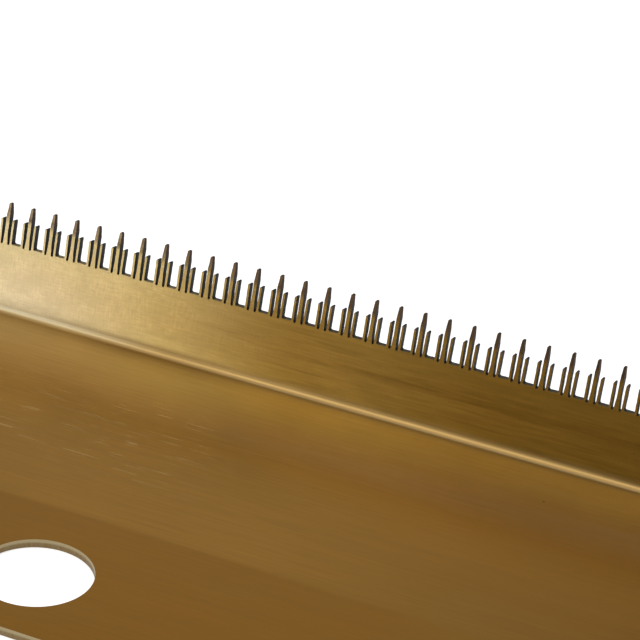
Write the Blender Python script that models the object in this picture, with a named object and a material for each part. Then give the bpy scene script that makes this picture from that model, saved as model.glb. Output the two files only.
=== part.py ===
"""Noodle machine comb: one brass sheet, folded into a plate and a standing toothed flange.

The sheet lies on its outer face. The length runs along X, the plate reaches towards -Y, and the
flange stands up at the +Y side. The origin is at the bottom centre of the comb's box.
"""
from math import cos, pi, radians, sin, tan

import bmesh
import bpy

# Sheet and fold
SHEET = 0.0010
PLATE_DEPTH = 0.0580
OPEN_ANGLE = radians(101.5)
FOLD_RADIUS = 0.0009
FOLD_STEPS = 8

# Row of teeth: each group is a tall tooth between two short prongs
PITCH = 0.0030
GROUPS = 56
END_LAND = 0.0060
ROOT_HEIGHT = 0.0086

# Tall tooth
TOOTH_RISE = 0.0050
TOOTH_ROOT_WIDTH = 0.00060
TOOTH_WAIST_WIDTH = 0.00042
TOOTH_WAIST_RISE = 0.0013
TOOTH_TIP_WIDTH = 0.00030
TIP_ROUND = 0.00008
TIP_FACET_RISE = 0.0014
TIP_FACET_DEPTH = 0.00020

# Short prong and the slot beside it
PRONG_RISE = 0.0030
PRONG_WIDTH = 0.00027
PRONG_TOP_WIDTH = 0.00025
PRONG_TOP_SHIFT = 0.00004
PRONG_ROUND = 0.00008
SLOT_WIDTH = 0.00030
SLOT_DROP = 0.00015
GAP_CORNER = 0.00018

# Mounting holes
HOLE_DIAMETER = 0.0123
HOLE_SPACING = 0.0780
HOLE_FROM_EDGE = 0.0101
HOLE_SIDES = 48

# How far a cutter runs past the face that it cuts
CUT_PAST = 0.0010

# Worked out from the sizes above
LENGTH = GROUPS * PITCH + 2 * END_LAND
LEAN = OPEN_ANGLE - pi / 2
TURN = pi - OPEN_ANGLE
TIP_HEIGHT = ROOT_HEIGHT + TOOTH_RISE
OVERHANG = TIP_HEIGHT * sin(LEAN) + (SHEET - TIP_FACET_DEPTH) * cos(LEAN)
FOLD_Y = (PLATE_DEPTH - OVERHANG) / 2

BRASS_COLOUR = (0.38, 0.23, 0.08, 1)


def arc(centre, radius, start, end, steps):
    """Points along an arc, with both of its ends."""
    angles = [start + (end - start) * step / steps for step in range(steps + 1)]
    return [(centre[0] + radius * cos(angle), centre[1] + radius * sin(angle)) for angle in angles]


def flange_point(height, behind=0.0):
    """Section point of the flange: height up from the fold's inner corner, behind its front face."""
    return (height * sin(LEAN) + behind * cos(LEAN), SHEET + height * cos(LEAN) - behind * sin(LEAN))


def section_outline():
    """Section of the folded sheet, thinned at the tips by a facet on either side.

    The fold's inner corner is over zero.
    """
    tangent = FOLD_RADIUS * tan(TURN / 2)
    centre = (-tangent, SHEET + FOLD_RADIUS)
    flange_end = -pi / 2 + TURN
    outer_fold = arc(centre, FOLD_RADIUS + SHEET, -pi / 2, flange_end, FOLD_STEPS)
    inner_fold = arc(centre, FOLD_RADIUS, flange_end, -pi / 2, FOLD_STEPS)
    facet_foot = TIP_HEIGHT - TIP_FACET_RISE
    back_facet = [flange_point(facet_foot, SHEET), flange_point(TIP_HEIGHT, SHEET - TIP_FACET_DEPTH)]
    front_facet = [flange_point(TIP_HEIGHT, TIP_FACET_DEPTH), flange_point(facet_foot)]
    free_edge = [(-PLATE_DEPTH, SHEET), (-PLATE_DEPTH, 0.0)]
    return outer_fold + back_facet + front_facet + inner_fold + free_edge


def half_group_outline():
    """Right half of a group, from above its tall tip down to the floor of the wide gap.

    Each point is a distance from the tall tooth's axis and a height above the fold's inner corner.
    """
    tip_half = TOOTH_TIP_WIDTH / 2
    slot_radius = SLOT_WIDTH / 2
    slot_centre = TOOTH_ROOT_WIDTH / 2 + slot_radius
    slot_bottom = ROOT_HEIGHT - SLOT_DROP + slot_radius
    prong_inner = TOOTH_ROOT_WIDTH / 2 + SLOT_WIDTH
    prong_outer = prong_inner + PRONG_WIDTH
    prong_top = ROOT_HEIGHT + PRONG_RISE
    top_inner = prong_inner + PRONG_TOP_SHIFT
    top_outer = top_inner + PRONG_TOP_WIDTH

    above_tip = [(tip_half - TIP_ROUND, TIP_HEIGHT + CUT_PAST)]
    tip = arc((tip_half - TIP_ROUND, TIP_HEIGHT - TIP_ROUND), TIP_ROUND, pi / 2, 0, 2)
    shank_half = TOOTH_WAIST_WIDTH / 2
    shank = [(shank_half, TIP_HEIGHT - TIP_FACET_RISE), (shank_half, ROOT_HEIGHT + TOOTH_WAIST_RISE)]
    slot = arc((slot_centre, slot_bottom), slot_radius, -pi, 0, 4)
    inner_corner = (top_inner + PRONG_ROUND, prong_top - PRONG_ROUND)
    outer_corner = (top_outer - PRONG_ROUND, prong_top - PRONG_ROUND)
    prong = arc(inner_corner, PRONG_ROUND, pi, pi / 2, 2) + arc(outer_corner, PRONG_ROUND, pi / 2, 0, 2)
    gap_corner = arc((prong_outer + GAP_CORNER, ROOT_HEIGHT + GAP_CORNER), GAP_CORNER, pi, 1.5 * pi, 2)
    return above_tip + tip + shank + slot + prong + gap_corner


def gap_outlines():
    """Outline of what is cut away between each tall tooth and the next, and past both end teeth."""
    half = half_group_outline()
    first = -(GROUPS - 1) / 2 * PITCH
    past_end = LENGTH / 2 + CUT_PAST
    top = TIP_HEIGHT + CUT_PAST
    outlines = []
    for number in range(GROUPS + 1):
        left_axis = first + (number - 1) * PITCH
        right_axis = left_axis + PITCH
        left = [(left_axis + away, height) for away, height in half]
        right = [(right_axis - away, height) for away, height in reversed(half)]
        if number == 0:
            left = [(-past_end, top), (-past_end, ROOT_HEIGHT)]
        if number == GROUPS:
            right = [(past_end, ROOT_HEIGHT), (past_end, top)]
        outlines.append(left + right)
    return outlines


def extruded(name, outlines, half_depth, rotation, location, collection):
    """Solid from flat closed outlines, extruded to both sides of their own plane."""
    curve = bpy.data.curves.new(name, "CURVE")
    curve.dimensions = "2D"
    curve.fill_mode = "BOTH"
    curve.extrude = half_depth
    for outline in outlines:
        spline = curve.splines.new("POLY")
        spline.points.add(len(outline) - 1)
        for point, (across, up) in zip(spline.points, outline):
            point.co = (across, up, 0, 1)
        spline.use_cyclic_u = True
    drawn = bpy.data.objects.new(name, curve)
    drawn.rotation_euler = rotation
    drawn.location = location
    collection.objects.link(drawn)
    bpy.context.view_layer.update()

    evaluated = drawn.evaluated_get(bpy.context.evaluated_depsgraph_get())
    mesh = bpy.data.meshes.new_from_object(evaluated)
    mesh.transform(drawn.matrix_world)
    bpy.data.objects.remove(drawn)
    shape = bmesh.new()
    shape.from_mesh(mesh)
    bmesh.ops.remove_doubles(shape, verts=shape.verts, dist=1e-7)
    bmesh.ops.recalc_face_normals(shape, faces=shape.faces)
    shape.to_mesh(mesh)
    shape.free()
    solid = bpy.data.objects.new(name, mesh)
    collection.objects.link(solid)
    return solid


def hole_cutter(name, x, collection):
    """Upright cylinder where a mounting hole goes."""
    y = FOLD_Y - PLATE_DEPTH + HOLE_FROM_EDGE
    bpy.ops.mesh.primitive_cylinder_add(
        vertices=HOLE_SIDES, radius=HOLE_DIAMETER / 2, depth=SHEET + 2 * CUT_PAST, location=(x, y, SHEET / 2))
    cutter = bpy.context.object
    cutter.name = name
    for owner in list(cutter.users_collection):
        owner.objects.unlink(cutter)
    collection.objects.link(cutter)
    return cutter


def brass():
    """Satin brass of the sheet."""
    material = bpy.data.materials.new("brass")
    material.use_nodes = True
    shader = material.node_tree.nodes["Principled BSDF"]
    shader.inputs["Base Color"].default_value = BRASS_COLOUR
    shader.inputs["Metallic"].default_value = 1.0
    shader.inputs["Roughness"].default_value = 0.38
    return material


def cut(target, cutter):
    """Exact cut of the target by a hidden cutter."""
    cutter.hide_render = True
    cutter.display_type = "WIRE"
    boolean = target.modifiers.new(cutter.name, "BOOLEAN")
    boolean.operation = "DIFFERENCE"
    boolean.solver = "EXACT"
    boolean.object = cutter


def build():
    for old in list(bpy.data.objects):
        bpy.data.objects.remove(old)
    parts = bpy.data.collections.new("noodle_machine_comb")
    cutters = bpy.data.collections.new("cutters")
    for collection in (parts, cutters):
        bpy.context.scene.collection.children.link(collection)

    # Section planes stand across the length, the teeth's plane leans back with the flange
    across_length = (pi / 2, 0, pi / 2)
    along_flange = (TURN, 0, 0)
    fold_corner = (0, FOLD_Y, SHEET)

    comb = extruded("comb_plate", [section_outline()], LENGTH / 2, across_length, (0, FOLD_Y, 0), parts)
    comb.data.materials.append(brass())
    gaps = extruded("tooth_gaps", gap_outlines(), SHEET + CUT_PAST, along_flange, fold_corner, cutters)
    left_hole = hole_cutter("left_hole", -HOLE_SPACING / 2, cutters)
    right_hole = hole_cutter("right_hole", HOLE_SPACING / 2, cutters)
    for cutter in (gaps, left_hole, right_hole):
        cut(comb, cutter)


build()
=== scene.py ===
"""Looks of the noodle machine comb: one folded brass sheet with a row of forked teeth, in a plain studio.

The file is laid out as an add-on and is run as a script. Lengths are in metres, in the frame of the
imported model: X along the row of teeth, Y from the plate's free edge to the flange, Z up.
"""
from math import cos, pi, radians, sin, tan

import bmesh
import bpy
from bpy.props import FloatProperty, FloatVectorProperty, IntProperty, PointerProperty
from bpy.types import Operator, Panel, PropertyGroup
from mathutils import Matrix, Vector


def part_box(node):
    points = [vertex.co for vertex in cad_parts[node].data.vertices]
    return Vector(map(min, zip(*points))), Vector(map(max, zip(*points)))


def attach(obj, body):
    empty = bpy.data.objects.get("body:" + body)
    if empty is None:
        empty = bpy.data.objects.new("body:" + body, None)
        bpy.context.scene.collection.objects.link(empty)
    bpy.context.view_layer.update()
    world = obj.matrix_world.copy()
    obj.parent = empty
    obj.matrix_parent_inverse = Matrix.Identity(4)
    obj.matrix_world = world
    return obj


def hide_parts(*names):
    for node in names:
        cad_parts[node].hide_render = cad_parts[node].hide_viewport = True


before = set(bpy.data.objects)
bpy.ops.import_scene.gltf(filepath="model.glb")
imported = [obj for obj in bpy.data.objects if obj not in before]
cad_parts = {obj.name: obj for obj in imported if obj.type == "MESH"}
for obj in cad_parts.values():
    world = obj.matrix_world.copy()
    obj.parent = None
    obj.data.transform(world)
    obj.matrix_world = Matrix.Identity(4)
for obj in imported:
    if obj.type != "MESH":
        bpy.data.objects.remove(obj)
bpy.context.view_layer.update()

bl_info = {
    "name": "Noodle machine comb",
    "version": (1, 0, 0),
    "blender": (4, 5, 0),
    "location": "3D View > Sidebar > Comb",
    "description": "Builds a folded brass comb with forked teeth and the studio that shows it",
    "category": "Add Mesh",
}

NODE = "comb_plate"
BOX_LOW, BOX_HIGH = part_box(NODE)

# How far a cutter runs past what it cuts, and the distance under which two corners are one
CUT_PAST = 0.001
DRILL_DEPTH = 0.004
MERGED = 1e-7

# Unevenness of the cut edges: waves in a metre, shift for each seed, and reach of the noise
WAVES = 1600.0
SEED_SHIFT = 3.7
NOISE_REACH = 4.0

# Faces of the comb by material: share of the sheet's own direction under which a face was cut
CUT_SHARE = 0.6
# Material slots; the rounded edges' slot holds wear and painted highlight.
CUT_FACE, SHEARED_FACE, WORN_AND_HIGHLIT_EDGE = 1, 2, 3
SHARP_ANGLE = radians(28)
ROUNDED_ANGLE = radians(35)

# The floor lies this far under the comb, so that their faces don't share a plane
FLOOR_Z = -0.00004

# Soft lamps: name, place, point that they look at, width and height, power in watts
LAMPS = (
    ("overhead_softbox", (-0.05, 0.10, 0.80), (-0.03, 0.0, 0.0), (0.90, 0.60), 2.5),
    ("back_softbox", (-0.36, 0.88, 0.50), (-0.03, 0.0, 0.0), (0.55, 0.50), 0.6),
    ("front_left_softbox", (-0.52, -0.80, 0.16), (-0.07, 0.03, 0.01), (0.22, 0.30), 1.45),
    ("front_high_softbox", (-0.28, -0.56, 0.80), (-0.03, 0.03, 0.01), (0.50, 0.40), 3.4),
)


# Settings

def length(name, default, description):
    """A size in metres."""
    return FloatProperty(name=name, description=description, default=default, min=0.0, precision=5,
                         subtype="DISTANCE", unit="LENGTH")


def angle(name, default, description):
    """A turn in radians, shown in degrees."""
    return FloatProperty(name=name, description=description, default=default,
                         subtype="ANGLE", unit="ROTATION")


def share(name, default, description):
    """A number from nothing to all."""
    return FloatProperty(name=name, description=description, default=default, min=0.0, max=1.0,
                         subtype="FACTOR")


def colour(name, default, description):
    """A linear colour."""
    return FloatVectorProperty(name=name, description=description, default=default, size=3, min=0.0, max=1.0,
                               subtype="COLOR")


class SheetSizes(PropertyGroup):
    """Sizes of the folded sheet and its holes."""

    sheet: length("Sheet", 0.0010, "Thickness of the brass sheet")
    plate_depth: length("Plate depth", 0.0580, "From the free edge to the fold's inner corner")
    lean: angle("Lean", radians(11.5), "How far the flange leans back from upright")
    fold_radius: length("Fold radius", 0.0009, "Radius inside the fold")
    fold_steps: IntProperty(name="Fold steps", description="Facets round the fold", default=20, min=4)
    hole_diameter: length("Hole diameter", 0.0123, "Diameter of both mounting holes")
    hole_spacing: length("Hole spacing", 0.0780, "Between the centres of the holes")
    hole_from_edge: length("Hole from edge", 0.0101, "From the free edge to the holes' centres")
    hole_sides: IntProperty(name="Hole sides", description="Facets round each hole", default=128, min=16)
    edge_round: length("Edge rounding", 0.00003, "Width of the worn rounding along every edge")


class ToothSizes(PropertyGroup):
    """Sizes of the row of teeth."""

    pitch: length("Pitch", 0.0030, "From one tall tooth to the next")
    groups: IntProperty(name="Groups", description="Number of tall teeth", default=56, min=1)
    root_height: length("Root height", 0.0086, "From the fold's inner corner up to the gaps' floor")
    tooth_rise: length("Tooth rise", 0.0050, "Height of the tall teeth above the gaps' floor")
    root_width: length("Root width", 0.00060, "Width of a tall tooth at its root")
    waist_width: length("Waist width", 0.00042, "Width of a tall tooth above its flared root")
    waist_rise: length("Waist rise", 0.0013, "Height of the waist above the gaps' floor")
    tip_width: length("Tip width", 0.00030, "Width of a tall tooth at its tip")
    tip_round: length("Tip rounding", 0.00008, "Radius of the tip's corners")
    facet_rise: length("Facet rise", 0.0014, "Height of the facets ground on both sides of the tips")
    facet_depth: length("Facet depth", 0.00020, "How much each facet takes off at the tip")
    prong_rise: length("Prong rise", 0.0030, "Height of the short prongs above the gaps' floor")
    prong_width: length("Prong width", 0.00027, "Width of a short prong at its root")
    prong_top_width: length("Prong top width", 0.00025, "Width of a short prong at its top")
    prong_top_shift: length("Prong top shift", 0.00004, "How far its inner edge leans from the tall tooth")
    prong_round: length("Prong rounding", 0.00008, "Radius of a short prong's top corners")
    slot_width: length("Slot width", 0.00030, "Width of the slots at their bottoms")
    slot_drop: length("Slot drop", 0.00015, "How far the slots go below the gaps' floor")
    gap_corner: length("Gap corner", 0.00018, "Radius in the corners of the gaps' floor")
    unevenness: length("Unevenness", 0.00002, "How far the cut edges wander")
    step: length("Outline step", 0.00022, "Longest straight piece of a cut edge")
    seed: IntProperty(name="Seed", description="Seed of the cut edges' unevenness", default=7)


class Finish(PropertyGroup):
    """Colours and roughness of the brass."""

    brass: colour("Brass", (0.281, 0.138, 0.0165), "Satin brass over most of the plate")
    flange: colour("Flange brass", (0.308, 0.184, 0.039), "Satin brass of the flange and the teeth")
    # Painted shade: this browner brass darkens the flange towards its right.
    olive_shade: colour("Olive brass", (0.264, 0.147, 0.0240), "Browner brass towards the flange's right")
    # Painted reflection: this brass makes the plate paler near the fold, where it would mirror the flange.
    fold: colour("Brass by the fold", (0.306, 0.248, 0.128), "Paler brass in the lee of the fold")
    # Painted highlight: this whitish brass and the golden one below brighten the left end of the flange and
    # of the fold.
    pale: colour("Pale brass", (0.552, 0.472, 0.306), "Freshly brushed brass at the flange's left")
    gold_highlight: colour("Golden brass", (0.500, 0.380, 0.150), "Yellower brass beside the pale end")
    # Painted shade on the plate past the flange's reflection line and towards the right; it also darkens the
    # flange's streaks and the torn hole walls.
    brown: colour("Browned brass", (0.256, 0.116, 0.0105), "Handled brass along the free edge")
    green: colour("Greened brass", (0.268, 0.145, 0.023), "Slight tarnish in the clouds")
    # Painted highlight: the fold's light line.
    crease: colour("Crease", (0.302, 0.192, 0.068), "Stretched brass round the fold")
    shine: colour("Scratch", (0.56, 0.40, 0.18), "Bare metal in scratches")
    pit: colour("Pit", (0.06, 0.035, 0.015), "Dark pits and specks")
    # Bright brass of the rounded edges: partly wear, partly painted highlight.
    worn: colour("Worn edge", (0.58, 0.40, 0.17), "Rounded edges")
    cut: colour("Cut face", (0.034, 0.037, 0.040), "Dull skin left on the cut faces")
    # Mottled darker skin, also used as painted shade low between the prongs.
    cut_dark: colour("Dark cut face", (0.010, 0.011, 0.010), "Darker parts of the cut faces")
    # Reddish brown laid on the tall tips from their facets up.
    tip: colour("Tip tarnish", (0.058, 0.034, 0.022), "Reddish brown tips")
    # Also lightens the gaps' upward floor as painted highlight.
    sheared: colour("Sheared edge", (0.27, 0.215, 0.120), "Hole walls and the sheet's outer edges")
    roughness: share("Roughness", 0.33, "Roughness of the satin brass")
    grain_depth: length("Grain depth", 0.000002, "Depth of the brushed grain")


class Studio(PropertyGroup):
    """Floor, world, soft lights and camera."""

    floor_colour: colour("Floor", (0.90, 0.90, 0.89), "Plain pale floor")
    floor_lift: FloatProperty(name="Floor lift", default=0.40,
                              description="Glow that makes the floor white to the camera and in reflections")
    world_level: FloatProperty(name="World", description="Strength of the even light all round", default=0.30)
    floor_size: length("Floor size", 4.0, "Side of the square floor")
    camera_place: FloatVectorProperty(name="Camera place", description="Where the camera stands", size=3,
                                      default=(0.05949, -0.20992, 0.14591),
                                      subtype="TRANSLATION", unit="LENGTH")
    camera_turn: FloatVectorProperty(name="Camera turn", description="The camera's rotation", size=3,
                                     default=(radians(61.907), radians(-4.707), radians(22.789)),
                                     subtype="EULER", unit="ROTATION")
    camera_lens: FloatProperty(name="Lens", description="Focal length in millimetres", default=139.15)


# Node trees

class Wire:
    """A value that flows from one node to others. Sums and products add Math nodes to its tree."""

    def __init__(self, tree, socket):
        self.tree = tree
        self.socket = socket

    def math(self, operation, *values):
        return self.tree.add("ShaderNodeMath", {"operation": operation}, dict(enumerate(values)))

    def __add__(self, other):
        return self.math("ADD", self, other)

    def __radd__(self, other):
        return self.math("ADD", other, self)

    def __sub__(self, other):
        return self.math("SUBTRACT", self, other)

    def __rsub__(self, other):
        return self.math("SUBTRACT", other, self)

    def __mul__(self, other):
        return self.math("MULTIPLY", self, other)

    def __rmul__(self, other):
        return self.math("MULTIPLY", other, self)


class Tree:
    """A node tree that is filled one node at a time."""

    def __init__(self, tree):
        self.tree = tree

    @staticmethod
    def find(sockets, key):
        """The socket with that number, identifier or name."""
        if isinstance(key, int):
            return sockets[key]
        for candidate in sockets:
            if candidate.identifier == key:
                return candidate
        return sockets[key]

    def add(self, kind, settings=None, values=None, out=0):
        """Adds a node: its settings first, then its sockets' values or links. Returns one output."""
        node = self.tree.nodes.new(kind)
        for name, value in (settings or {}).items():
            setattr(node, name, value)
        for key, value in (values or {}).items():
            socket = self.find(node.inputs, key)
            if isinstance(value, Wire):
                self.tree.links.new(value.socket, socket)
            else:
                socket.default_value = value
        return Wire(self, self.find(node.outputs, out)) if len(node.outputs) else node

    def outputs(self, wire):
        """All outputs of the node that a wire comes from."""
        return [Wire(self, socket) for socket in wire.socket.node.outputs]

    def vector(self, operation, *values, out=0):
        return self.add("ShaderNodeVectorMath", {"operation": operation}, dict(enumerate(values)), out)

    def split(self, vector):
        """The three parts of a vector."""
        return self.outputs(self.add("ShaderNodeSeparateXYZ", {}, {0: vector}))

    def rise(self, value, low, high):
        """Goes smoothly from 0 to 1 as the value goes from low to high, in either direction."""
        return self.add("ShaderNodeMapRange", {"interpolation_type": "SMOOTHSTEP"},
                        {"Value": value, "From Min": low, "From Max": high, "To Min": 0.0, "To Max": 1.0})

    def mix(self, factor, first, second, blend="MIX"):
        """Mixes two colours."""
        first, second = [c if isinstance(c, Wire) else (*c, 1.0) for c in (first, second)]
        return self.add("ShaderNodeMix", {"data_type": "RGBA", "blend_type": blend},
                        {"Factor_Float": factor, "A_Color": first, "B_Color": second}, "Result_Color")


class FinishTree(Tree):
    """A material's tree, with the patterns that the brass finishes share."""

    def __init__(self, name):
        self.material = bpy.data.materials.new(name)
        self.material.use_nodes = True
        super().__init__(self.material.node_tree)
        self.tree.nodes.clear()
        self.place = self.add("ShaderNodeTexCoord", out="Object")
        self.x, self.y, self.z = self.split(self.place)

    def noise(self, along, across, upright=None, detail=2.0, shift=0.0):
        """Noise whose blobs have the given sizes in metres along X, Y and Z."""
        upright = across if upright is None else upright
        scaled = self.vector("MULTIPLY", self.place, (1 / along, 1 / across, 1 / upright))
        moved = self.vector("ADD", scaled, (shift, shift, shift))
        return self.add("ShaderNodeTexNoise", {"noise_dimensions": "3D"},
                        {"Vector": moved, "Scale": 1.0, "Detail": detail, "Roughness": 0.55})

    def specks(self, cell, radius, share_kept, shift=0.0):
        """Round specks, at most one in each cell, in a share of the cells."""
        scaled = self.vector("MULTIPLY", self.place, (1 / cell, 1 / cell, 1 / cell))
        moved = self.vector("ADD", scaled, (shift, shift, shift))
        cells = self.add("ShaderNodeTexVoronoi", {"feature": "F1"}, {"Vector": moved, "Scale": 1.0})
        distance, tint, _ = self.outputs(cells)[:3]
        kept = self.rise(self.split(tint)[0], share_kept, share_kept * 0.98)
        return self.rise(distance, radius / cell, 0.55 * radius / cell) * kept

    def scaled(self, tint, amount):
        """A colour made lighter or darker by a number."""
        return self.add("ShaderNodeVectorMath", {"operation": "SCALE"}, {"Vector": tint, "Scale": amount})

    def with_brown_tips(self, base, finish, facet_z):
        """A colour with the reddish brown of the tall tips from their facets up."""
        ragged = self.noise(0.0009, 0.0009, detail=2.0, shift=21.0)
        reach = self.rise(self.z + (ragged - 0.5) * 0.0010, facet_z - 0.0011, facet_z + 0.0003)
        return self.mix(reach * (0.70 + ragged * 0.35), base, tuple(finish.tip))

    def principled(self, **sockets):
        values = {key.replace("_", " "): value for key, value in sockets.items()}
        return self.add("ShaderNodeBsdfPrincipled", {}, values)

    def bump(self, distance, height):
        """A normal that follows the height."""
        return self.add("ShaderNodeBump", {}, {"Strength": 1.0, "Distance": distance, "Height": height})

    def shade(self, **sockets):
        """Ends the tree in a Principled shader."""
        return self.ended(self.principled(**sockets))

    def ended(self, shader):
        self.add("ShaderNodeOutputMaterial", {}, {"Surface": shader})
        return self.material


# Zones of the sheet's finish: the measure that each goes by, where it starts and where it is full, in
# metres. "depth" is the way from the fold towards the free edge, and "column" is X slid along with it.
SHEET_ZONES = {
    "crease": ("z", 0.00100, 0.00112),
    "lower_fold": ("z", 0.00150, 0.00112),
    "upper_fold": ("z", 0.00108, 0.00140),
    "flange": ("z", 0.0013, 0.0024),
    "past_bend": ("z", 0.0016, 0.0022),
    "soft_start": ("z", 0.00145, 0.00175),
    "soft_stop": ("z", 0.0023, 0.0034),
    "high": ("z", 0.0020, 0.0100),
    "left": ("x", -0.030, -0.056),
    "palest": ("x", -0.046, -0.070),
    "soft_left": ("x", -0.030, -0.055),
    "dusky": ("x", -0.025, -0.005),
    "right": ("x", -0.025, 0.012),
    "streaked": ("x", -0.052, -0.030),
    "smooth": ("x", -0.030, 0.010),
    "lee": ("x", -0.062, -0.030),
    "by_fold_start": ("x", -0.060, -0.052),
    "middle_start": ("x", -0.044, -0.034),
    "middle_stop": ("x", -0.016, -0.026),
    "near_fold": ("depth", 0.0165, 0.0045),
    "by_fold": ("depth", 0.0110, 0.0020),
    "far": ("depth", 0.0200, 0.0280),
    "glow_near": ("depth", 0.0040, 0.0110),
    "glow_far": ("depth", 0.0270, 0.0150),
    "glow_start": ("column", -0.041, -0.033),
    "glow_stop": ("column", 0.000, -0.022),
    "end_glow": ("column", -0.062, -0.068),
    "gloom_start": ("column", -0.061, -0.054),
    "gloom_stop": ("column", -0.035, -0.041),
    "gloom_near": ("depth", 0.0120, 0.0060),
    "scratched_left": ("x", -0.024, -0.040),
    "scratched_start": ("y", -0.0030, 0.0030),
    "scratched_stop": ("y", 0.0200, 0.0150),
}
COLUMN_SLANT = 0.58
# The line where the flange's reflection in the plate ends, parallel to the fold; past it the plate is browned
# as painted shade.
MARGIN_EDGE = (-0.0082, -0.0093)
MARGIN_WANDER = 0.0012

# Patterns of the sheet's finish: the size of their blobs along X and across, in metres
SHEET_PATTERNS = {
    "clouds": dict(along=0.030, across=0.016, detail=3.0),
    "bands": dict(along=0.090, across=0.0024, detail=3.0, shift=4.0),
    "streaks": dict(along=0.009, across=0.00036, detail=3.0, shift=9.0),
    "grain": dict(along=0.0060, across=0.00010, detail=1.0, shift=2.0),
    "hatch": dict(along=0.00014, across=0.0012, detail=1.0, shift=6.0),
    "weft": dict(along=0.0012, across=0.00014, detail=1.0, shift=26.0),
    "patches": dict(along=0.0045, across=0.0035, detail=2.0, shift=31.0),
    "lines": dict(along=0.0050, across=0.00030, detail=2.0, shift=37.0),
    "scratch_lines": dict(along=0.0260, across=0.00007, detail=0.0, shift=13.0),
    "scratch_area": dict(along=0.0034, across=0.0009, detail=1.0, shift=17.0),
}

# Values of a pattern between which a mark fades in
CLOUDY = (0.45, 0.75)
STREAKED = (0.50, 0.72)
PATCHY = (0.35, 0.65)
DASHED = (0.62, 0.78)
SCRATCH_LINE = (0.62, 0.72)
SCRATCH_AREA = (0.50, 0.62)


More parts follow.
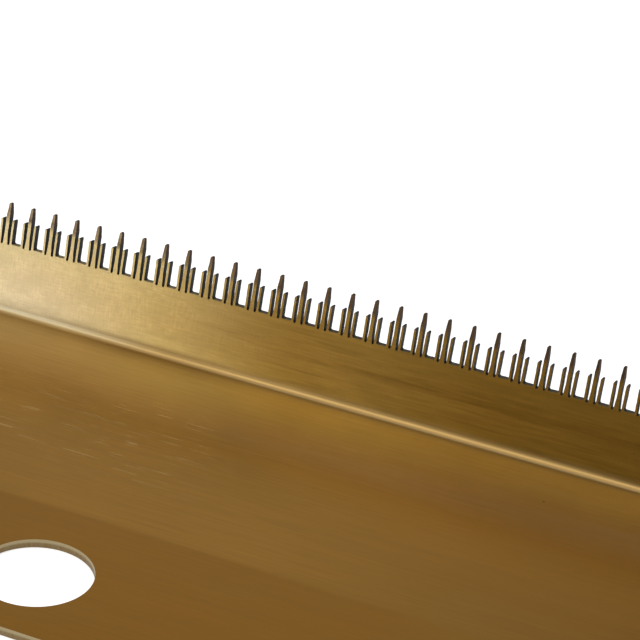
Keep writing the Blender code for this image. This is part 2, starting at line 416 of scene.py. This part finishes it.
class SheetFinish(FinishTree):
    """Satin brass brushed along its length, with hatching, scratches, tarnish and pits, and with painted
    highlight, reflection and shade.
    """

    def __init__(self, finish, fold_y, facet_z):
        super().__init__("brushed_sheet")
        self.finish, self.facet_z = finish, facet_z
        depth = fold_y - self.y
        self.measures = {"x": self.x, "y": self.y, "z": self.z, "depth": depth,
                         "column": self.x - depth * COLUMN_SLANT}
        self.made = {}
        # Mask past the flange's reflection line, towards the free edge.
        wander = (self.pattern("clouds") - 0.5) * MARGIN_WANDER
        self.margin = self.rise(self.y + wander, *MARGIN_EDGE)
        self.patches = self.rise(self.pattern("patches"), *PATCHY)

    def zone(self, name):
        """A zone's mask, made once."""
        if name not in self.made:
            measure, start, full = SHEET_ZONES[name]
            self.made[name] = self.rise(self.measures[measure], start, full)
        return self.made[name]

    def pattern(self, name):
        """A pattern's noise, made once."""
        if name not in self.made:
            self.made[name] = self.noise(**SHEET_PATTERNS[name])
        return self.made[name]

    def plate(self):
        """Brass of the plate: browner along the free edge and to the right as painted shade, paler beside the
        fold as painted reflection, with painted highlight and shade in bands.
        """
        zone, finish = self.zone, self.finish
        # Painted shade: browner past the reflection line and towards the right.
        base = self.mix(self.margin + zone("right") * 0.7, tuple(finish.brass), tuple(finish.brown))
        cloudy = self.rise(self.pattern("clouds"), *CLOUDY)
        base = self.mix(cloudy * 0.5, base, tuple(finish.green))
        # Painted reflection of the flange: paler brass near the fold, more towards the left.
        base = self.mix(zone("near_fold") * (0.45 + zone("lee") * 0.55), base, tuple(finish.fold))
        # Painted highlight: a slanting band and the plate's left end made brighter; painted shade: darker at
        # the left by the fold, along the fold and at the far right.
        glow = zone("glow_start") * zone("glow_stop") * 0.10 + zone("end_glow") * 0.16
        glow = glow * zone("glow_near") * zone("glow_far")
        gloom = zone("gloom_start") * zone("gloom_stop") * zone("gloom_near")
        by_fold = zone("by_fold") * zone("by_fold_start")
        middle = zone("middle_start") * zone("middle_stop")
        far_right = zone("right") * zone("far") * (1.0 - self.margin)
        dim = gloom * 0.06 + by_fold * (0.07 - middle * 0.05) + far_right * 0.08
        return self.scaled(base, 1.0 + glow - dim)

    def with_fold(self, base):
        """Adds paler brass round the fold as a painted highlight line; at the left end the line's lower part
        fades and its upper part turns whitish, the flange's painted highlight.
        """
        zone, finish = self.zone, self.finish
        # Painted highlight: at the left end the fold takes the flange's whitish brass.
        pale = zone("palest") * (0.35 + zone("upper_fold") * 0.65)
        line = zone("crease") * (1.0 - zone("palest") * 0.7 * zone("lower_fold"))
        return self.mix(line, base, self.mix(pale, tuple(finish.crease), tuple(finish.pale)))

    def with_flange(self, base):
        """Adds the flange's brass: whitish at its left end and golden beside it as painted highlight, and
        browner to the right as painted shade.
        """
        zone, finish = self.zone, self.finish
        # Painted highlight at the flange's left end, fading somewhat up the flange; painted shade towards its
        # right.
        pale = zone("palest") * (1.0 - zone("high") * 0.55)
        bright = self.mix(pale, tuple(finish.gold_highlight), tuple(finish.pale))
        plain = self.mix(zone("dusky"), tuple(finish.flange), tuple(finish.olive_shade))
        base = self.mix(zone("flange"), base, self.mix(zone("left"), plain, bright))
        dark_streaks = self.rise(self.pattern("bands"), *STREAKED) * zone("streaked") * zone("flange")
        return self.mix(dark_streaks * 0.22, base, tuple(finish.brown), "MULTIPLY")

    def woven(self):
        """Cross hatching of the flange, around nothing."""
        flange, left = self.zone("flange"), self.zone("left")
        threads = self.pattern("hatch") + self.pattern("weft") - 1.0
        return threads * flange * (0.14 + left * 0.34) * (0.35 + self.patches * 0.65)

    def soft_fold(self):
        """The paler strip between the fold and the flange at the left, a painted highlight."""
        return self.zone("soft_left") * (self.zone("soft_start") - self.zone("soft_stop"))

    def brushed(self, base, woven):
        """Varies a colour with the brushing, the hatching and the way up the flange."""
        zone, pattern = self.zone, self.pattern
        flange, left = zone("flange"), zone("left")
        smooth = zone("smooth") * 0.6 + self.margin * 0.4
        calm = 1.0 - flange * (0.25 + left * 0.50)
        along = ((pattern("bands") - 0.5) * 0.14
                 + (pattern("streaks") - 0.5) * (0.44 - smooth * 0.30)
                 + (pattern("grain") - 0.5) * (0.26 - smooth * 0.16)) * calm
        tone = (1.0 + along + woven + (self.patches - 0.5) * flange * left * 0.10
                + (pattern("lines") - 0.5) * flange * (1.0 - left) * 0.55)
        fall = zone("high") * (0.30 - left * 0.19 + zone("dusky") * 0.06)
        # Painted highlight: the strip above the fold at the left is brightened.
        upward = 1.0 + flange * (0.12 - left * 0.08 - fall) + self.soft_fold() * 0.38
        # Real hatch strokes, brightened towards whitish brass only at the flange's left as painted highlight.
        dashes = self.rise(pattern("hatch"), *DASHED) + self.rise(pattern("weft"), *DASHED)
        dashes = dashes * flange * left * self.patches
        return self.mix(dashes * 0.30, self.scaled(base, tone * upward), tuple(self.finish.pale))

    def scratches(self):
        """Short straight scratches in the plate's left half."""
        where = self.zone("scratched_left") * self.zone("scratched_start") * self.zone("scratched_stop")
        where = where * (1.0 - self.margin) * (1.0 - self.zone("flange"))
        cuts = self.rise(self.pattern("scratch_area"), *SCRATCH_AREA)
        return self.rise(self.pattern("scratch_lines"), *SCRATCH_LINE) * cuts * where

    def made_whole(self):
        """The finished material."""
        zone, pattern, finish = self.zone, self.pattern, self.finish
        woven, scratches = self.woven(), self.scratches()
        pits = self.specks(0.0085, 0.00016, 0.45)
        nicks = self.specks(0.0140, 0.00014, 0.35, shift=5.0)

        base = self.with_flange(self.with_fold(self.plate()))
        base = self.with_brown_tips(self.brushed(base, woven), finish, self.facet_z)
        base = self.mix(scratches * 0.42, base, tuple(finish.shine))
        base = self.mix(pits * 0.75, base, tuple(finish.pit))
        base = self.mix(nicks * 0.6, base, tuple(finish.shine))

        bent = zone("crease") - zone("past_bend")
        roughness = (finish.roughness + (pattern("streaks") - 0.5) * 0.16 + (pattern("clouds") - 0.5) * 0.10
                     + self.margin * 0.03 - scratches * 0.08 + bent * (0.10 + (pattern("bands") - 0.5) * 0.2)
                     + self.soft_fold() * 0.22)
        height = (pattern("grain") * 0.6 + pattern("streaks") * 0.8 + woven * 2.0
                  - pits * 3.0 - scratches * 0.6)
        bump = self.bump(finish.grain_depth, height)
        return self.shade(Base_Color=base, Roughness=roughness, Metallic=1.0, Normal=bump)


def worn_edge(finish, facet_z):
    """Brass rubbed bright along the rounded edges, with dull stretches between; the brightening grows towards
    the left as painted highlight.
    """
    t = FinishTree("worn_edge")
    wear = t.rise(t.noise(0.0011, 0.0011, detail=2.0, shift=3.0), 0.40, 0.62)
    # Painted highlight: the bright edges grow stronger towards the left.
    left = t.rise(t.x, 0.010, -0.070)
    standing = 0.45 + t.rise(t.z, 0.0012, 0.0030) * 0.55
    base = t.mix(wear * (0.20 + left * 0.80) * standing, tuple(finish.cut_dark), tuple(finish.worn))
    base = t.with_brown_tips(base, finish, facet_z)
    roughness = 0.42 - wear * 0.10
    return t.shade(Base_Color=base, Roughness=roughness, Metallic=1.0)


def cut_face(finish, facet_z, root_z):
    """The dull dark skin that cutting leaves on the walls of the gaps, darker lower down as painted shade."""
    t = FinishTree("cut_face")
    mottle = t.noise(0.0007, 0.0007, 0.0016, detail=3.0)
    lines = t.noise(0.0010, 0.0009, 0.00008, detail=1.0, shift=8.0)
    # Painted shade: the cut faces darken deep between the prongs and lighten towards the tips.
    upper = t.rise(t.z, 0.0092, 0.0128)
    light = t.rise(mottle + (upper - 0.5) * 0.40, 0.38, 0.66)
    base = t.mix(light, tuple(finish.cut_dark), tuple(finish.cut))
    # Painted highlight: the gaps' upward floor turns to paler sheared brass, more towards the left.
    facing_up = t.split(t.add("ShaderNodeNewGeometry", out="Normal"))[2]
    gap_floor = t.rise(facing_up, 0.80, 0.95) * t.rise(t.z, root_z + 0.0006, root_z + 0.0003)
    base = t.mix(gap_floor * (0.20 + t.rise(t.x, -0.030, -0.060) * 0.50), base, tuple(finish.sheared))
    base = t.with_brown_tips(t.scaled(base, 1.0 + (lines - 0.5) * 0.7), finish, facet_z)
    roughness = 0.62 + (mottle - 0.5) * 0.2
    bump = t.bump(0.000004, lines + mottle)
    return t.shade(Base_Color=base, Roughness=roughness, Metallic=0.15, Specular_IOR_Level=0.12,
                   Normal=bump)


def sheared_face(finish):
    """Greyish brass of the hole walls and the sheet's outer edges, lighter and smoother near the top and torn
    below.
    """
    t = FinishTree("sheared_face")
    tear = t.noise(0.0003, 0.0003, 0.0012, detail=2.0)
    lip = t.rise(t.z, 0.00045, 0.00075)
    grey = 0.5 + t.rise(tear + lip * 0.3, 0.35, 0.75) * 0.5
    base = t.mix(grey, tuple(finish.brown), tuple(finish.sheared))
    base = t.scaled(base, 0.8 + lip * 0.4)
    return t.shade(Base_Color=base, Roughness=0.50 - lip * 0.12, Metallic=0.9, Normal=t.bump(0.000006, tear))


# The comb's form

def arc(centre, radius, start, end, steps):
    """Points along an arc, with both of its ends."""
    angles = [start + (end - start) * step / steps for step in range(steps + 1)]
    return [(centre[0] + radius * cos(a), centre[1] + radius * sin(a)) for a in angles]


class FoldedSection:
    """The sheet's section across its length, in Y and Z."""

    def __init__(self, sheet_sizes, tooth_sizes):
        s = sheet_sizes
        self.sizes, self.teeth = s, tooth_sizes
        self.fold_y = BOX_LOW.y + s.plate_depth
        self.turn = pi / 2 - s.lean
        self.tip_height = tooth_sizes.root_height + tooth_sizes.tooth_rise
        self.bend = Vector((self.fold_y - s.fold_radius * tan(self.turn / 2), s.sheet + s.fold_radius))
        self.front = Vector((0, -cos(s.lean), sin(s.lean)))

    def flange_point(self, height, behind=0.0):
        """A point at that height up the flange, that far behind its front face."""
        lean = self.sizes.lean
        return (self.fold_y + height * sin(lean) + behind * cos(lean),
                self.sizes.sheet + height * cos(lean) - behind * sin(lean))

    def outline(self):
        s, teeth = self.sizes, self.teeth
        end = -pi / 2 + self.turn
        outer = arc(self.bend, s.fold_radius + s.sheet, -pi / 2, end, s.fold_steps)
        inner = arc(self.bend, s.fold_radius, end, -pi / 2, s.fold_steps)
        facet_foot = self.tip_height - teeth.facet_rise
        tip = [self.flange_point(facet_foot, s.sheet),
               self.flange_point(self.tip_height, s.sheet - teeth.facet_depth),
               self.flange_point(self.tip_height, teeth.facet_depth),
               self.flange_point(facet_foot)]
        return outer + tip + inner + [(BOX_LOW.y, s.sheet), (BOX_LOW.y, 0.0)]

    def normal_near(self, point):
        """Direction square to the sheet at a point on or in it."""
        away = Vector((point.y, point.z)) - self.bend
        if away.y < 0 and away.x < 0:
            return Vector((0, 0, 1))
        if away.y < 0 and away.length < self.sizes.fold_radius + 1.5 * self.sizes.sheet:
            if away.angle(Vector((0, -1))) < self.turn:
                return Vector((0, -away.x, -away.y)).normalized()
        return self.front


def prism(name, outline, low, high, place):
    """Solid between two flat copies of a closed outline. place(point, depth) puts each corner."""
    shape = bmesh.new()
    rings = [[shape.verts.new(place(point, depth)) for point in outline] for depth in (low, high)]
    shape.faces.new(rings[0])
    shape.faces.new(rings[1])
    for i in range(len(outline)):
        j = (i + 1) % len(outline)
        shape.faces.new((rings[0][i], rings[0][j], rings[1][j], rings[1][i]))
    bmesh.ops.recalc_face_normals(shape, faces=shape.faces)
    mesh = bpy.data.meshes.new(name)
    shape.to_mesh(mesh)
    shape.free()
    return mesh


def added(name, mesh):
    """An object at the origin that shows a mesh."""
    made = bpy.data.objects.new(name, mesh)
    bpy.context.scene.collection.objects.link(made)
    return made


def half_group(s):
    """Right half of a group, from above its tall tip down to the gap's floor.

    Each point is a distance from the tall tooth's axis and a height up the flange.
    """
    tip_half, tip_height = s.tip_width / 2, s.root_height + s.tooth_rise
    waist_half = s.waist_width / 2
    slot_radius = s.slot_width / 2
    slot_centre = (s.root_width / 2 + slot_radius, s.root_height - s.slot_drop + slot_radius)
    inner = s.root_width / 2 + s.slot_width
    outer = inner + s.prong_width
    top = s.root_height + s.prong_rise
    top_inner = inner + s.prong_top_shift
    top_outer = top_inner + s.prong_top_width
    radius = s.prong_round
    return (
        [(tip_half - s.tip_round, tip_height + CUT_PAST)]
        + arc((tip_half - s.tip_round, tip_height - s.tip_round), s.tip_round, pi / 2, 0, 3)
        + [(waist_half, tip_height - s.facet_rise), (waist_half, s.root_height + s.waist_rise)]
        + arc(slot_centre, slot_radius, -pi, 0, 8)
        + arc((top_inner + radius, top - radius), radius, pi, pi / 2, 4)
        + arc((top_outer - radius, top - radius), radius, pi / 2, 0, 4)
        + arc((outer + s.gap_corner, s.root_height + s.gap_corner), s.gap_corner, pi, 1.5 * pi, 5)
    )


def stepped(points, step):
    """The same line with long pieces split, so that no piece is longer than the step."""
    line = [points[0]]
    for (x0, y0), (x1, y1) in zip(points, points[1:]):
        count = max(1, round(((x1 - x0) ** 2 + (y1 - y0) ** 2) ** 0.5 / step))
        line += [(x0 + (x1 - x0) * i / count, y0 + (y1 - y0) * i / count) for i in range(1, count + 1)]
    return line


def gap_cutter(s, sheet):
    """What is cut away between two groups, flat, with the gap's middle at X = 0 and heights along Y."""
    half = half_group(s)
    left = [(away - s.pitch / 2, height) for away, height in half]
    right = [(s.pitch / 2 - away, height) for away, height in reversed(half)]
    outline = stepped(left + right, s.step)
    return prism("gap_cutter", outline, -2 * sheet, sheet, lambda p, depth: (p[0], p[1], depth))


def end_cutters(s, sheet):
    """What is cut away past the first and last groups, flat, in place along X."""
    last = (s.groups - 1) / 2 * s.pitch
    past = BOX_HIGH.x + sheet
    top = s.root_height + s.tooth_rise + sheet
    half = [(last + away, height) for away, height in half_group(s)]
    outline = stepped(half + [(past, s.root_height)], s.step) + [(past, top)]
    mirrored = [(-x, height) for x, height in outline]
    meshes = [prism("end_cutter", o, -2 * sheet, sheet, lambda p, depth: (p[0], p[1], depth))
              for o in (outline, mirrored)]
    shape = bmesh.new()
    for mesh in meshes:
        shape.from_mesh(mesh)
        bpy.data.meshes.remove(mesh)
    both = bpy.data.meshes.new("end_cutters")
    shape.to_mesh(both)
    shape.free()
    return both


class RowTree(Tree):
    """The Geometry Nodes tree that cuts the row of gaps and the two holes into the folded blank."""

    INPUTS = (
        ("Blank", "NodeSocketGeometry"), ("Gap cutter", "NodeSocketObject"),
        ("End cutters", "NodeSocketObject"), ("Pitch", "NodeSocketFloat"), ("Gaps", "NodeSocketInt"),
        ("Lean", "NodeSocketFloat"), ("Fold corner", "NodeSocketVector"),
        ("Hole diameter", "NodeSocketFloat"), ("Hole sides", "NodeSocketInt"),
        ("Hole spacing", "NodeSocketFloat"), ("Hole place", "NodeSocketVector"),
        ("Unevenness", "NodeSocketFloat"), ("Seed", "NodeSocketInt"), ("Finish", "NodeSocketMaterial"),
    )

    def __init__(self):
        super().__init__(bpy.data.node_groups.new("tooth_row", "GeometryNodeTree"))
        self.names = {}
        for name, kind in self.INPUTS:
            made = self.tree.interface.new_socket(name=name, in_out="INPUT", socket_type=kind)
            self.names[name] = made.identifier
        self.tree.interface.new_socket(name="Comb", in_out="OUTPUT", socket_type="NodeSocketGeometry")
        entry = self.add("NodeGroupInput")
        wires = dict(zip([name for name, _ in self.INPUTS], self.outputs(entry)))
        self.build(wires)

    def combined(self, x, y, z):
        return self.add("ShaderNodeCombineXYZ", {}, {0: x, 1: y, 2: z})

    def joined(self, first, second):
        """Both geometries as one."""
        both = self.add("GeometryNodeJoinGeometry", {}, {0: first})
        self.tree.links.new(second.socket, both.socket.node.inputs[0])
        return both

    def uneven(self, geometry, amount, seed):
        """Moves points a little in the flat of the cut, alike at every depth."""
        x, height, _ = self.split(self.add("GeometryNodeInputPosition"))
        flat = self.combined(x * WAVES, height * WAVES, seed * SEED_SHIFT)
        noise = self.add("ShaderNodeTexNoise", {"noise_dimensions": "3D"},
                         {"Vector": flat, "Scale": 1.0, "Detail": 2.0, "Roughness": 0.6}, "Color")
        centred = self.vector("SUBTRACT", noise, (0.5, 0.5, 0.5))
        reach = self.combined(amount * NOISE_REACH, amount * NOISE_REACH, 0.0)
        return self.add("GeometryNodeSetPosition", {},
                        {"Geometry": geometry, "Offset": self.vector("MULTIPLY", centred, reach)})

    def build(self, w):
        start = self.combined((w["Gaps"] - 1) * w["Pitch"] * -0.5, 0.0, 0.0)
        offset = self.combined(w["Pitch"], 0.0, 0.0)
        places = self.add("GeometryNodeMeshLine", {"mode": "OFFSET"},
                          {"Count": w["Gaps"], "Start Location": start, "Offset": offset})
        gap = self.add("GeometryNodeObjectInfo", {}, {"Object": w["Gap cutter"]}, "Geometry")
        ends = self.add("GeometryNodeObjectInfo", {}, {"Object": w["End cutters"]}, "Geometry")
        gaps = self.add("GeometryNodeInstanceOnPoints", {}, {"Points": places, "Instance": gap})
        row = self.joined(self.add("GeometryNodeRealizeInstances", {}, {0: gaps}), ends)
        row = self.uneven(row, w["Unevenness"], w["Seed"])
        turn = self.combined(pi / 2 - w["Lean"], 0.0, 0.0)
        row = self.add("GeometryNodeTransform", {},
                       {"Geometry": row, "Translation": w["Fold corner"], "Rotation": turn})

        spread = self.combined(w["Hole spacing"], 0.0, 0.0)
        first = self.vector("SUBTRACT", w["Hole place"], self.vector("MULTIPLY", spread, (0.5, 0.5, 0.5)))
        centres = self.add("GeometryNodeMeshLine", {"mode": "OFFSET"},
                           {"Count": 2, "Start Location": first, "Offset": spread})
        drill = self.add("GeometryNodeMeshCylinder", {},
                         {"Vertices": w["Hole sides"], "Radius": w["Hole diameter"] * 0.5,
                          "Depth": DRILL_DEPTH})
        holes = self.add("GeometryNodeInstanceOnPoints", {}, {"Points": centres, "Instance": drill})
        cutters = self.joined(self.add("GeometryNodeRealizeInstances", {}, {0: holes}), row)

        comb = self.add("GeometryNodeMeshBoolean", {"operation": "DIFFERENCE", "solver": "EXACT"},
                        {"Mesh 1": w["Blank"], "Mesh 2": cutters})
        comb = self.add("GeometryNodeRealizeInstances", {}, {0: comb})
        comb = self.add("GeometryNodeSetMaterial", {}, {"Geometry": comb, "Material": w["Finish"]})
        self.add("NodeGroupOutput", {}, {0: comb})


def plain_mesh(piece, name):
    """The evaluated piece as a mesh of its own, with its doubles merged."""
    graph = bpy.context.evaluated_depsgraph_get()
    mesh = bpy.data.meshes.new_from_object(piece.evaluated_get(graph))
    mesh.name = name
    shape = bmesh.new()
    shape.from_mesh(mesh)
    bmesh.ops.remove_doubles(shape, verts=shape.verts, dist=MERGED)
    shape.to_mesh(mesh)
    shape.free()
    return mesh


def removed(*objects):
    """Takes helper objects and their meshes away."""
    for helper in objects:
        mesh = helper.data
        bpy.data.objects.remove(helper)
        bpy.data.meshes.remove(mesh)


class CombSheet(Operator):
    """Makes the folded brass sheet with its teeth and holes"""

    bl_idname = "comb.sheet"
    bl_label = "Comb sheet"

    def execute(self, context):
        scene = context.scene
        sizes, teeth, finish = scene.comb_sheet, scene.comb_teeth, scene.comb_finish
        section = FoldedSection(sizes, teeth)
        blank = prism("comb_sheet", section.outline(), BOX_LOW.x, BOX_HIGH.x,
                      lambda point, x: (x, point[0], point[1]))
        comb = added("comb_sheet", blank)
        gap = added("gap_cutter", gap_cutter(teeth, sizes.sheet))
        ends = added("end_cutters", end_cutters(teeth, sizes.sheet))
        facet_z = section.flange_point(section.tip_height - teeth.facet_rise)[1]
        root_z = section.flange_point(teeth.root_height)[1]
        materials = [SheetFinish(finish, section.fold_y, facet_z).made_whole(),
                     cut_face(finish, facet_z, root_z), sheared_face(finish), worn_edge(finish, facet_z)]

        row = RowTree()
        cutting = comb.modifiers.new("tooth_row", "NODES")
        cutting.node_group = row.tree
        values = {
            "Gap cutter": gap, "End cutters": ends, "Pitch": teeth.pitch, "Gaps": teeth.groups - 1,
            "Lean": sizes.lean, "Fold corner": (0.0, section.fold_y, sizes.sheet),
            "Hole diameter": sizes.hole_diameter, "Hole sides": sizes.hole_sides,
            "Hole spacing": sizes.hole_spacing,
            "Hole place": (0.0, BOX_LOW.y + sizes.hole_from_edge, sizes.sheet / 2),
            "Unevenness": teeth.unevenness, "Seed": teeth.seed, "Finish": materials[0],
        }
        for name, value in values.items():
            cutting[row.names[name]] = value
        comb.data = plain_mesh(comb, "comb_sheet")
        comb.modifiers.remove(cutting)
        removed(gap, ends)
        if len(comb.data.polygons) < teeth.groups * 20:
            raise RuntimeError("the row of teeth was not cut")

        comb.data.materials.clear()
        for material in materials:
            comb.data.materials.append(material)
        for face in comb.data.polygons:
            across = abs(face.normal.dot(section.normal_near(face.center)))
            if across < CUT_SHARE:
                at_end = abs(face.center.x) >= BOX_HIGH.x - 1e-5
                in_row = face.center.z > root_z - 2 * teeth.slot_width and not at_end
                face.material_index = CUT_FACE if in_row else SHEARED_FACE
            face.use_smooth = True
        comb.data.set_sharp_from_angle(angle=SHARP_ANGLE)

        rounding = comb.modifiers.new("edge_rounding", "BEVEL")
        rounding.width = sizes.edge_round
        rounding.segments = 2
        rounding.limit_method = "ANGLE"
        rounding.angle_limit = ROUNDED_ANGLE
        rounding.material = WORN_AND_HIGHLIT_EDGE
        rounding.harden_normals = False
        normals = comb.modifiers.new("flat_faces", "WEIGHTED_NORMAL")
        normals.keep_sharp = True
        normals.weight = 80
        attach(comb, "root")
        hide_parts(NODE)
        return {"FINISHED"}


# Studio

def softbox(name, place, aim, size, power):
    """Soft rectangular lamp that looks at a point. The camera doesn't see it."""
    lamp = bpy.data.lights.new(name, "AREA")
    lamp.shape = "RECTANGLE"
    lamp.size, lamp.size_y = size
    lamp.energy = power
    holder = bpy.data.objects.new(name, lamp)
    holder.location = place
    holder.rotation_euler = (Vector(aim) - Vector(place)).to_track_quat("-Z", "Y").to_euler()
    holder.visible_camera = False
    bpy.context.scene.collection.objects.link(holder)


def floor_finish(studio):
    """Plain pale matt floor, white to the camera and in reflections, with the shadows kept."""
    t = FinishTree("studio_floor")
    mottle = t.noise(0.20, 0.20, detail=2.0)
    base = t.mix(mottle * 0.3, tuple(studio.floor_colour), (1.0, 1.0, 1.0))
    plain = t.principled(Base_Color=base, Roughness=0.9, Specular_IOR_Level=0.1)
    lifted = t.principled(Base_Color=base, Roughness=0.9, Specular_IOR_Level=0.1,
                          Emission_Color=(1.0, 1.0, 1.0, 1.0), Emission_Strength=studio.floor_lift)
    rays = {wire.socket.name: wire for wire in t.outputs(t.add("ShaderNodeLightPath"))}
    seen = rays["Is Camera Ray"] + rays["Is Glossy Ray"]
    return t.ended(t.add("ShaderNodeMixShader", {}, {0: seen, 1: plain, 2: lifted}))


class CombStage(Operator):
    """Makes the floor, the world, the soft lights and the camera"""

    bl_idname = "comb.stage"
    bl_label = "Studio"

    def execute(self, context):
        studio = context.scene.comb_studio
        half = studio.floor_size / 2
        corners = [(x * half, y * half, FLOOR_Z) for x, y in ((-1, -1), (1, -1), (1, 1), (-1, 1))]
        mesh = bpy.data.meshes.new("studio_floor")
        mesh.from_pydata(corners, [], [(0, 1, 2, 3)])
        floor = added("studio_floor", mesh)
        floor.data.materials.append(floor_finish(studio))

        world = bpy.data.worlds.new("studio_world")
        world.use_nodes = True
        sky = world.node_tree.nodes["Background"]
        sky.inputs["Color"].default_value = (1.0, 1.0, 1.0, 1.0)
        sky.inputs["Strength"].default_value = studio.world_level
        context.scene.world = world

        for lamp in LAMPS:
            softbox(*lamp)

        camera = bpy.data.cameras.new("photo_camera")
        camera.lens = studio.camera_lens
        camera.sensor_width = 36.0
        camera.clip_start = 0.01
        holder = bpy.data.objects.new("photo_camera", camera)
        holder.location = studio.camera_place
        holder.rotation_euler = studio.camera_turn
        context.scene.collection.objects.link(holder)
        context.scene.camera = holder
        context.scene.view_settings.view_transform = "Standard"
        return {"FINISHED"}


class CombPanel(Panel):
    """Lists the comb's operators and settings"""

    bl_idname = "VIEW3D_PT_comb"
    bl_label = "Noodle machine comb"
    bl_space_type = "VIEW_3D"
    bl_region_type = "UI"
    bl_category = "Comb"

    def draw(self, context):
        for operator in (CombSheet, CombStage):
            self.layout.operator(operator.bl_idname)
        for group in (context.scene.comb_sheet, context.scene.comb_teeth,
                      context.scene.comb_finish, context.scene.comb_studio):
            box = self.layout.box()
            for name in group.__annotations__:
                box.prop(group, name)


CLASSES = (SheetSizes, ToothSizes, Finish, Studio, CombSheet, CombStage, CombPanel)
GROUPS = {"comb_sheet": SheetSizes, "comb_teeth": ToothSizes, "comb_finish": Finish, "comb_studio": Studio}


def register():
    for cls in CLASSES:
        bpy.utils.register_class(cls)
    for name, group in GROUPS.items():
        setattr(bpy.types.Scene, name, PointerProperty(type=group))


def unregister():
    for name in GROUPS:
        delattr(bpy.types.Scene, name)
    for cls in reversed(CLASSES):
        bpy.utils.unregister_class(cls)


def main():
    register()
    bpy.ops.comb.sheet()
    bpy.ops.comb.stage()


if __name__ == "__main__":
    main()
